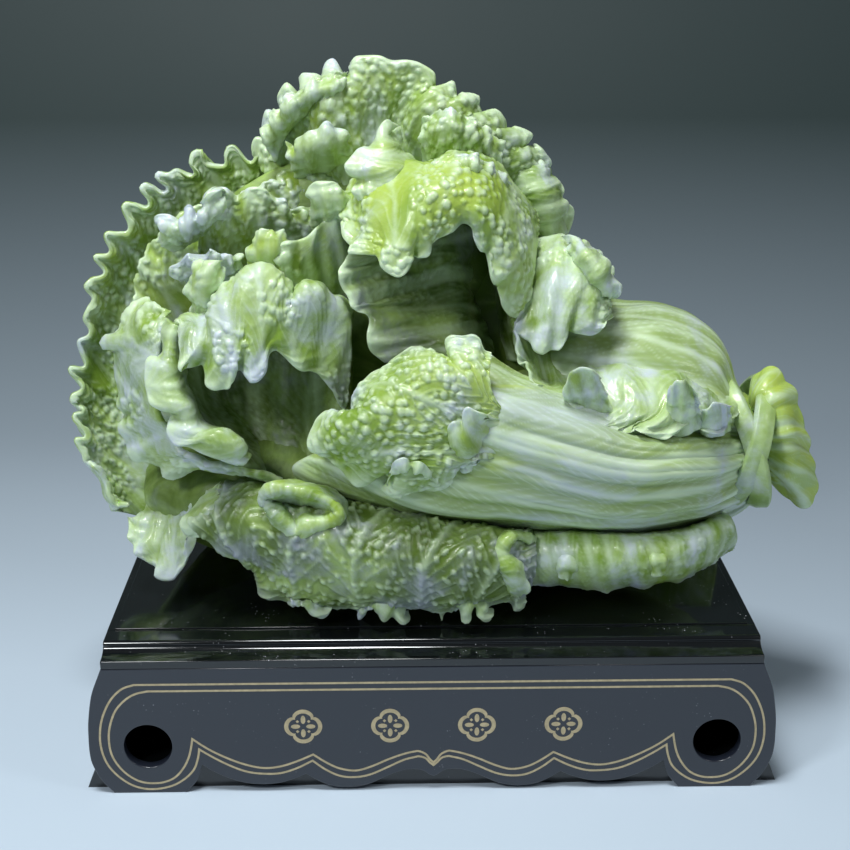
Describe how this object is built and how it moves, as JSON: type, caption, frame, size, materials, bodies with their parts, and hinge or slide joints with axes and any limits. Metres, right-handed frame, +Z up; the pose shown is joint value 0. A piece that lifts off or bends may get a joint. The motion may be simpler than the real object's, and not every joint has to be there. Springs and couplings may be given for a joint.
{
  "type": "jade cabbage carving on a lacquered stand",
  "caption": "Cabbage with ruffled hollow leaves, ribbed stem and tied roots, carved in green stone, resting on a black lacquered stand with scroll ends.",
  "frame": {"origin": "middle of the stand's flat underside, on the table", "axes": "+X to the right along the stand's length, +Y to the back, +Z up; the front faces -Y"},
  "size_m": [0.4173, 0.17, 0.3738],
  "materials": {
    "jade": "polished, translucent, yellow-green with grey-white patches",
    "black_lacquer": "high gloss black lacquer on wood",
    "navy_lacquer": "satin blue-black lacquer with pale gold lines",
    "bare_wood": "bare sawn softwood",
    "screw_steel": "zinc plated steel",
    "gold_paint": "pale gold painted lines, satin"
  },
  "bodies": {
    "stand": {"platform_board": "black_lacquer", "base_board": "black_lacquer", "front_panel": "navy_lacquer", "back_panel": "navy_lacquer", "left_end_board": "navy_lacquer", "right_end_board": "navy_lacquer", "left_rib": "bare_wood", "right_rib": "bare_wood", "front_upper_batten": "bare_wood", "front_lower_batten": "bare_wood", "back_upper_batten": "bare_wood", "back_lower_batten": "bare_wood", "base_screw_1": "screw_steel", "platform_screw_1": "screw_steel", "base_screw_2": "screw_steel", "platform_screw_2": "screw_steel", "base_screw_3": "screw_steel", "platform_screw_3": "screw_steel", "base_screw_4": "screw_steel", "platform_screw_4": "screw_steel"},
    "carving": {"jade_carving": "jade"}
  },
  "joints": [
    {"name": "carving_lift", "type": "slide", "parent": "stand", "child": "carving", "axis": [0, 0, 1], "range_m": [0, 0.12]}
  ]
}
